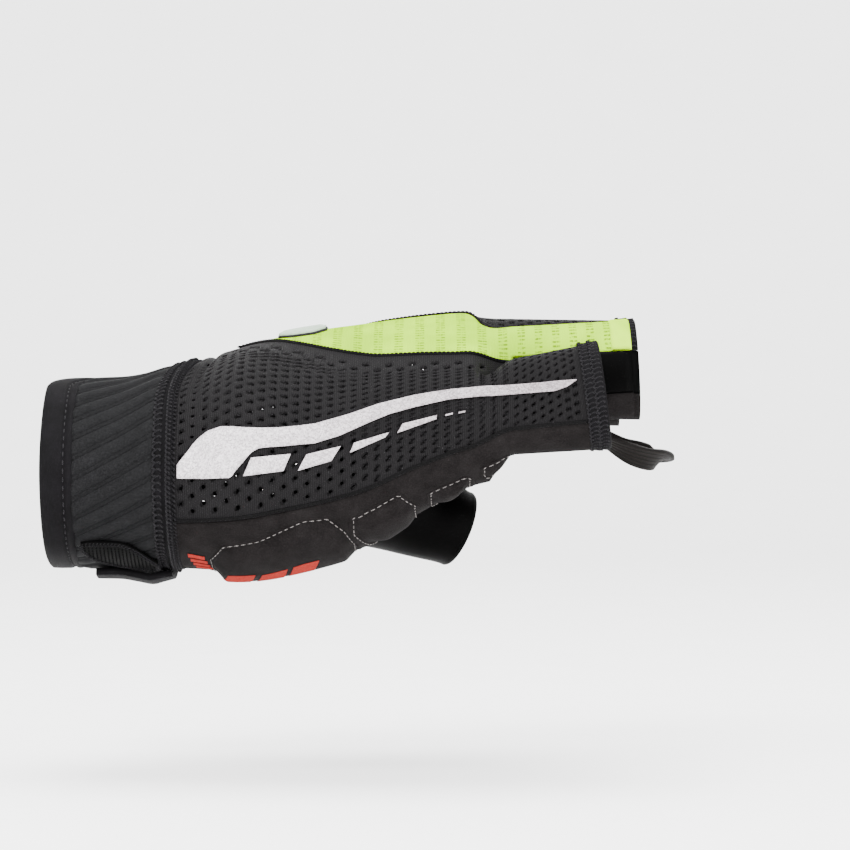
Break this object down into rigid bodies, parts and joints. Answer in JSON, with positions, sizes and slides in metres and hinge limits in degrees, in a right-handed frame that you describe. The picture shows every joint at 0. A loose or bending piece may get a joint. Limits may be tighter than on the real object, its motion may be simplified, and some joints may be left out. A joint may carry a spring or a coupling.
{
  "type": "short finger glove",
  "caption": "Right-hand short finger glove in black knit mesh and suede, with a neon yellow back panel, a ribbed neoprene cuff and a pull loop at the fingers.",
  "frame": {"origin": "centre of the wrist opening, in the plane of the cuff's edge", "axes": "+X from the wrist to the fingers, +Y to the thumb's side, +Z out of the back of the hand"},
  "size_m": [0.1555, 0.0964, 0.0683],
  "materials": {
    "binding_black": "smooth bonded knit",
    "neoprene_black": "ribbed neoprene",
    "overlock_thread_black": "overlock stitching",
    "hook_tape_black": "hook tape",
    "knit_mesh_black": "open knit mesh",
    "knit_neon_yellow": "embossed knit",
    "hem_neon_yellow": "turned hem",
    "suede_black": "synthetic suede",
    "lycra_black": "smooth stretch knit",
    "woven_tape_black": "ribbed woven tape",
    "rubber_grey": "soft matt"
  },
  "bodies": {
    "root": {"cuff_binding": "binding_black", "cuff_sleeve": "neoprene_black", "cuff_seam": "overlock_thread_black", "closure_hook_patch": "hook_tape_black", "closure_tab": "binding_black", "back_mesh_outer": "knit_mesh_black", "back_centre_panel": "knit_neon_yellow", "back_mesh_inner": "knit_mesh_black", "back_badge": "rubber_grey", "palm_panel": "suede_black", "pad_heel": "suede_black", "pad_middle": "suede_black", "pad_upper": "suede_black", "pad_knuckle": "suede_black", "thumb_stall": "lycra_black", "fourchette_little_ring": "lycra_black", "fourchette_ring_middle": "lycra_black", "fourchette_middle_index": "lycra_black", "hem_little": "overlock_thread_black", "hem_ring": "hem_neon_yellow", "hem_middle": "overlock_thread_black", "hem_index": "overlock_thread_black", "pull_loop": "woven_tape_black"}
  },
  "joints": []
}
